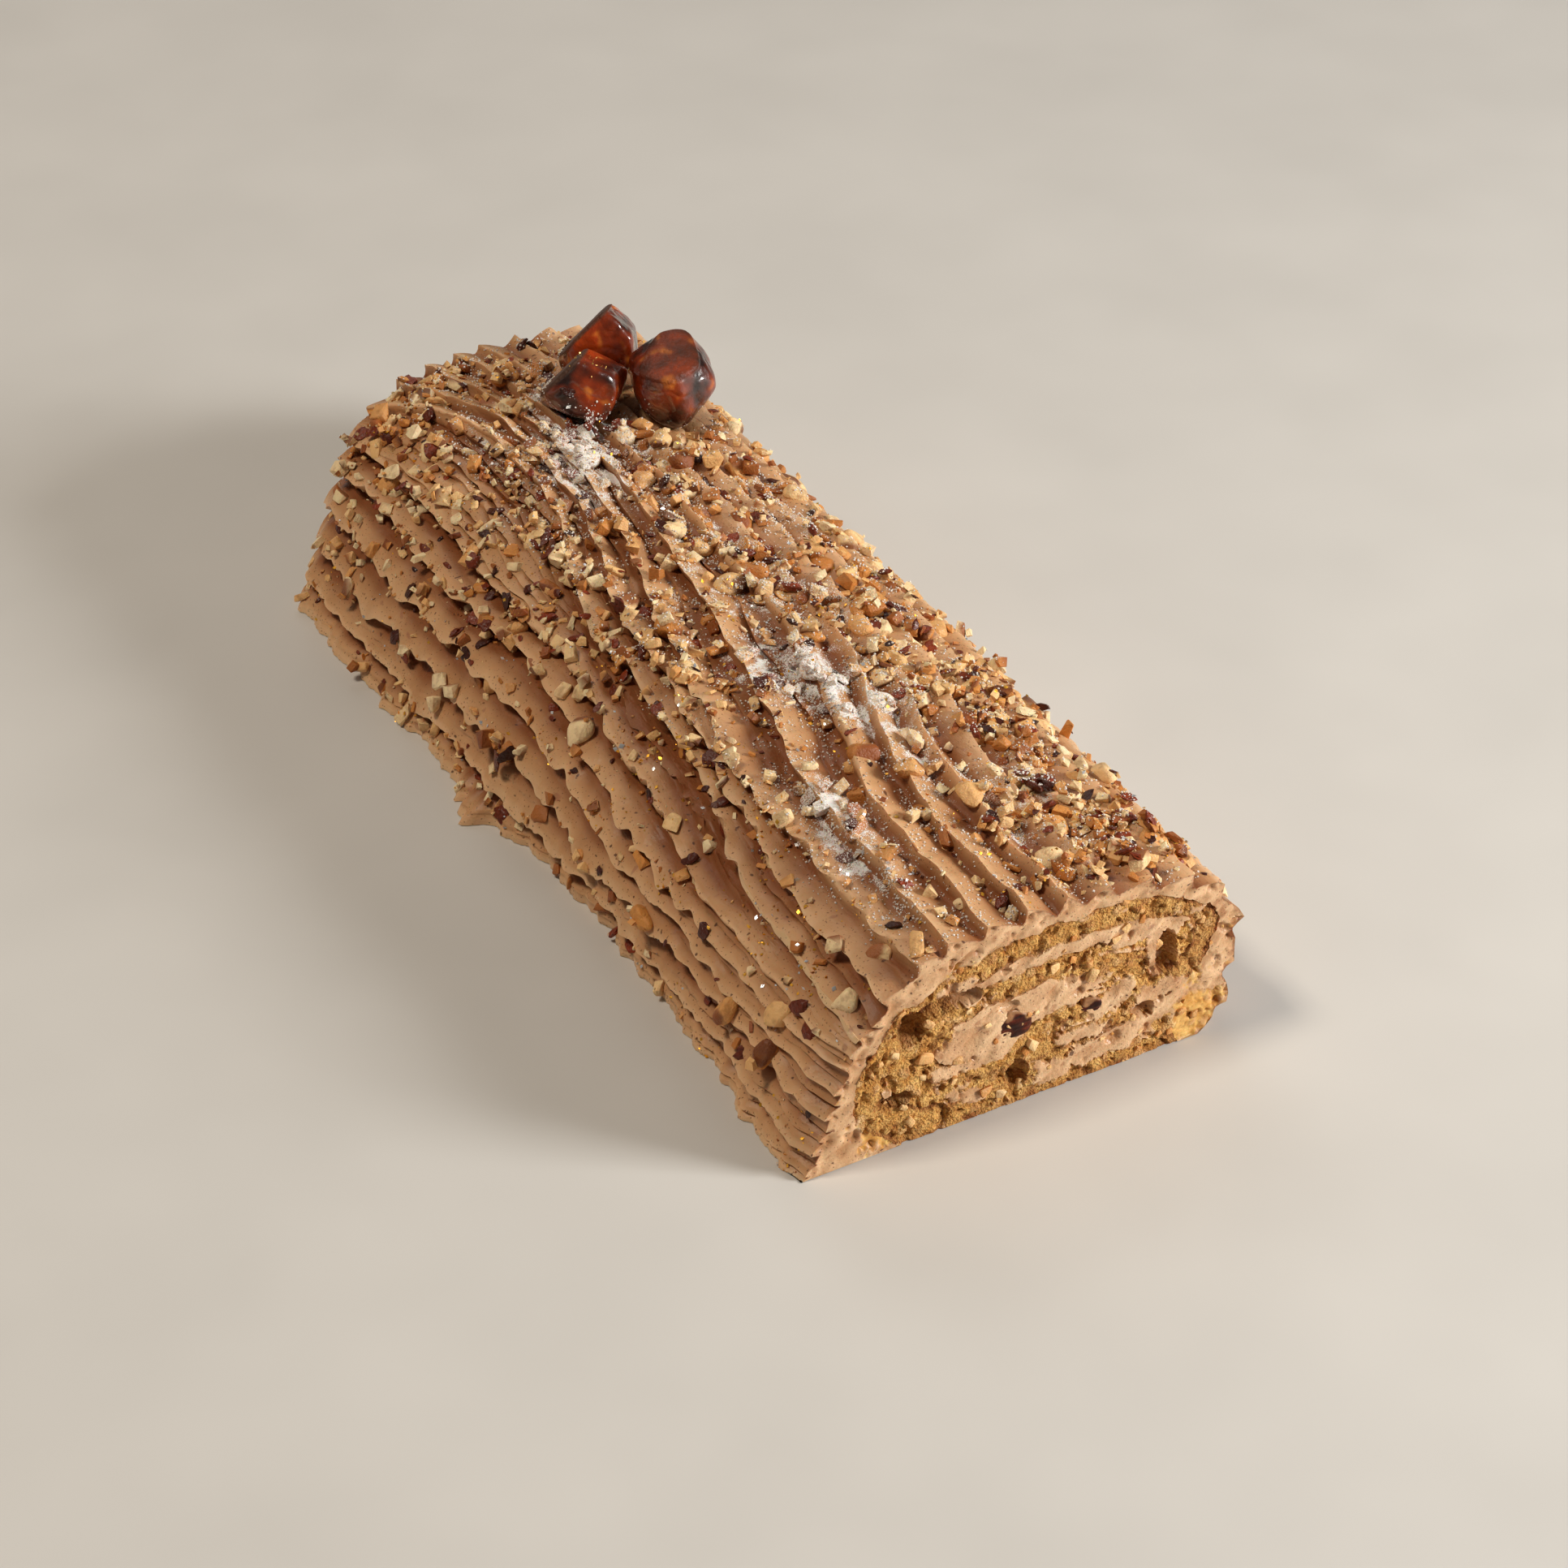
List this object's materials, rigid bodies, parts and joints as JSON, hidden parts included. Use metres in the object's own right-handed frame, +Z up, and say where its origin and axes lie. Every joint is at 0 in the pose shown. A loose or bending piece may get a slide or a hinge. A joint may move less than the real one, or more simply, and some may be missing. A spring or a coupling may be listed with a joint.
{
  "type": "yule log cake",
  "caption": "Log cake of rolled sponge and buttercream, cut at both ends, under knife-ridged icing with chopped nuts and glazed chestnut pieces on top.",
  "frame": {"origin": "middle of the flat underside, on the plate", "axes": "+Y along the log from its front cut to its far end, +Z up, +X to the right seen from the front cut"},
  "size_m": [0.1244, 0.2811, 0.0716],
  "materials": {
    "icing": "nut buttercream, smooth with a soft sheen, specked with ground nuts",
    "sponge": "golden nut sponge with an open crumb",
    "filling": "pale nut buttercream with chopped nuts",
    "glazed_chestnut": "sugar glaze over dark brown candied chestnut",
    "chopped_nuts": "roasted hazelnut, chopped, with some dark skins",
    "sugar_and_flakes": "icing sugar and edible glitter flakes"
  },
  "bodies": {
    "root": {"icing": "icing", "sponge": "sponge", "filling": "filling", "glazed_chestnut_left": "glazed_chestnut", "glazed_chestnut_back": "glazed_chestnut", "glazed_chestnut_right": "glazed_chestnut", "chestnut_in_filling_front": "glazed_chestnut", "chestnut_in_filling_small": "glazed_chestnut", "chestnut_in_filling_far": "glazed_chestnut"}
  },
  "joints": []
}
